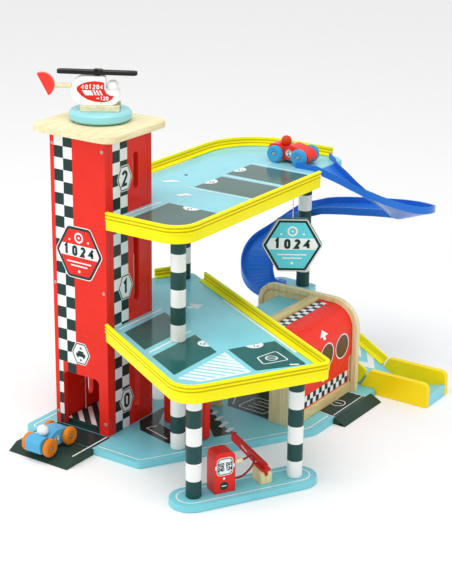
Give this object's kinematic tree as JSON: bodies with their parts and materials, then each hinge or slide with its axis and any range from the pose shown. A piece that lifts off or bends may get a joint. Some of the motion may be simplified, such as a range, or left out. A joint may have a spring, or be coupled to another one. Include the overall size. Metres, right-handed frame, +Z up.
{
  "type": "toy garage",
  "caption": "Wooden toy parking garage with a lift tower, decks on banded posts, a curved car slide, a workshop with a shutter, a fuel pump, a barrier, cars and a helipad.",
  "frame": {"origin": "on the floor, straight under the outer corner between the lift tower's front and right walls", "axes": "+X to the right along the tower's front wall, +Y away from the front along the tower's side walls towards the slide, +Z up"},
  "size_m": [0.4582, 0.6494, 0.5415],
  "materials": {
    "base_turquoise": "gloss print on board",
    "deck_turquoise": "gloss print on board",
    "helipad_turquoise": "gloss lacquer",
    "dark_green": "gloss print on board",
    "tower_red": "gloss print on board",
    "bare_wood": "bare pale wood",
    "white_paint": "gloss lacquer in bands",
    "white_cord": "matte twisted cord",
    "kerb_yellow": "gloss moulded",
    "tray_yellow": "gloss lacquer",
    "hose_rubber": "satin elastic cord",
    "shutter_red": "gloss printed sheet",
    "slide_blue": "gloss moulded",
    "rotor_black": "satin moulded",
    "car_blue": "gloss lacquer",
    "wheel_orange": "gloss lacquer",
    "car_red": "gloss lacquer",
    "wheel_blue": "gloss lacquer"
  },
  "bodies": {
    "garage": {"base_board": "base_turquoise", "foot_plate": "base_turquoise", "entry_ramp": "dark_green", "workshop_ramp": "dark_green", "post_5": "dark_green", "tower_front": "tower_red", "tower_back": "tower_red", "tower_left": "tower_red", "tower_right": "tower_red", "deck_1_support": "tower_red", "pump_body": "tower_red", "platform_support": "tower_red", "roof_board": "bare_wood", "barrier_block": "bare_wood", "workshop_near_arch": "bare_wood", "workshop_far_arch": "bare_wood", "lift_cord": "white_cord", "deck_1_board": "deck_turquoise", "deck_2_board": "deck_turquoise", "workshop_ceiling": "deck_turquoise", "platform_board": "deck_turquoise", "exit_ramp": "deck_turquoise", "tray_floor": "deck_turquoise", "deck_1_kerb": "kerb_yellow", "deck_1_end_kerb": "kerb_yellow", "deck_2_front_kerb": "kerb_yellow", "deck_2_back_kerb": "kerb_yellow", "exit_near_kerb": "kerb_yellow", "exit_far_kerb": "kerb_yellow", "tray_near_wall": "tray_yellow", "tray_far_wall": "tray_yellow", "post_1": "white_paint", "post_2": "white_paint", "post_3": "white_paint", "post_4": "white_paint", "shutter_sheet": "shutter_red", "slide_upper": "slide_blue", "slide_lower": "slide_blue"},
    "knob": {"helipad_disc": "helipad_turquoise", "lift_spool": "bare_wood"},
    "lift": {"lift_platform": "dark_green"},
    "helicopter": {"helicopter_body": "white_paint", "helicopter_near_skid": "bare_wood", "helicopter_far_skid": "bare_wood", "helicopter_boom": "bare_wood", "helicopter_fin": "tower_red"},
    "rotor": {"helicopter_rotor": "rotor_black"},
    "shutter_low_part": {"shutter_bottom_rail": "bare_wood"},
    "shutter_high_part": {"shutter_top_rail": "bare_wood"},
    "barrier": {"barrier_arm": "tower_red"},
    "sign": {"sign_board": "deck_turquoise", "sign_cord": "white_cord"},
    "nozzle": {"pump_nozzle": "bare_wood", "pump_hose": "hose_rubber"},
    "blue_car": {"blue_car_body": "car_blue"},
    "blue_front_axle": {"blue_car_front_wheels": "wheel_orange"},
    "blue_rear_axle": {"blue_car_rear_wheels": "wheel_orange"},
    "red_car": {"red_car_body": "car_red"},
    "red_front_axle": {"red_car_front_wheels": "wheel_blue"},
    "red_rear_axle": {"red_car_rear_wheels": "wheel_blue"}
  },
  "joints": [
    {"name": "knob_turn", "type": "hinge", "parent": "garage", "child": "knob", "pos_m": [-0.04925, 0.0538, 0.471], "axis": [0, 0, 1], "range_deg": [0, 1880]},
    {"name": "lift_travel", "type": "slide", "parent": "garage", "child": "lift", "axis": [0, 0, 1], "range_m": [0, 0.3284], "deforming": ["lift_cord"]},
    {"name": "helicopter_lift_off", "type": "slide", "parent": "knob", "child": "helicopter", "axis": [0, 0, 1], "range_m": [0, 0.1]},
    {"name": "rotor_spin", "type": "hinge", "parent": "helicopter", "child": "rotor", "pos_m": [-0.05257, 0.05158, 0.5345], "axis": [0, 0, 1], "continuous": true},
    {"name": "shutter_rise", "type": "slide", "parent": "garage", "child": "shutter_low_part", "axis": [0, 0, 1], "range_m": [0, 0.044]},
    {"name": "shutter_roof_travel", "type": "slide", "parent": "garage", "child": "shutter_high_part", "axis": [-1, 0, 0], "range_m": [0, 0.044]},
    {"name": "barrier_lift", "type": "hinge", "parent": "garage", "child": "barrier", "pos_m": [0.26494, 0.01089, 0.025], "axis": [0.5, 0.866, 0], "range_deg": [-2, 45]},
    {"name": "sign_swing", "type": "hinge", "parent": "garage", "child": "sign", "pos_m": [0.132, 0.285, 0.3296], "axis": [0.831, 0.5563, 0], "range_deg": [-20, 20]},
    {"name": "nozzle_pull", "type": "slide", "parent": "garage", "child": "nozzle", "axis": [0.5, 0.866, 0], "range_m": [0, 0.012]},
    {"name": "blue_car_lift_off", "type": "slide", "parent": "garage", "child": "blue_car", "axis": [0, 0, 1], "range_m": [0, 0.1]},
    {"name": "blue_front_spin", "type": "hinge", "parent": "blue_car", "child": "blue_front_axle", "pos_m": [-0.05, -0.05227, 0.02381], "axis": [1, 0, 0], "continuous": true},
    {"name": "blue_rear_spin", "type": "hinge", "parent": "blue_car", "child": "blue_rear_axle", "pos_m": [-0.05, -0.0962, 0.02135], "axis": [1, 0, 0], "continuous": true},
    {"name": "red_car_lift_off", "type": "slide", "parent": "garage", "child": "red_car", "axis": [0, 0, 1], "range_m": [0, 0.1]},
    {"name": "red_front_spin", "type": "hinge", "parent": "red_car", "child": "red_front_axle", "pos_m": [0.0688, 0.4205, 0.3572], "axis": [0, 1, 0], "continuous": true},
    {"name": "red_rear_spin", "type": "hinge", "parent": "red_car", "child": "red_rear_axle", "pos_m": [0.0248, 0.4205, 0.3572], "axis": [0, 1, 0], "continuous": true}
  ],
  "couplings": [
    {"joint": "lift_travel", "follows": "knob_turn", "m_per_rad": 0.01},
    {"joint": "shutter_rise", "follows": "shutter_roof_travel", "ratio": 1}
  ]
}
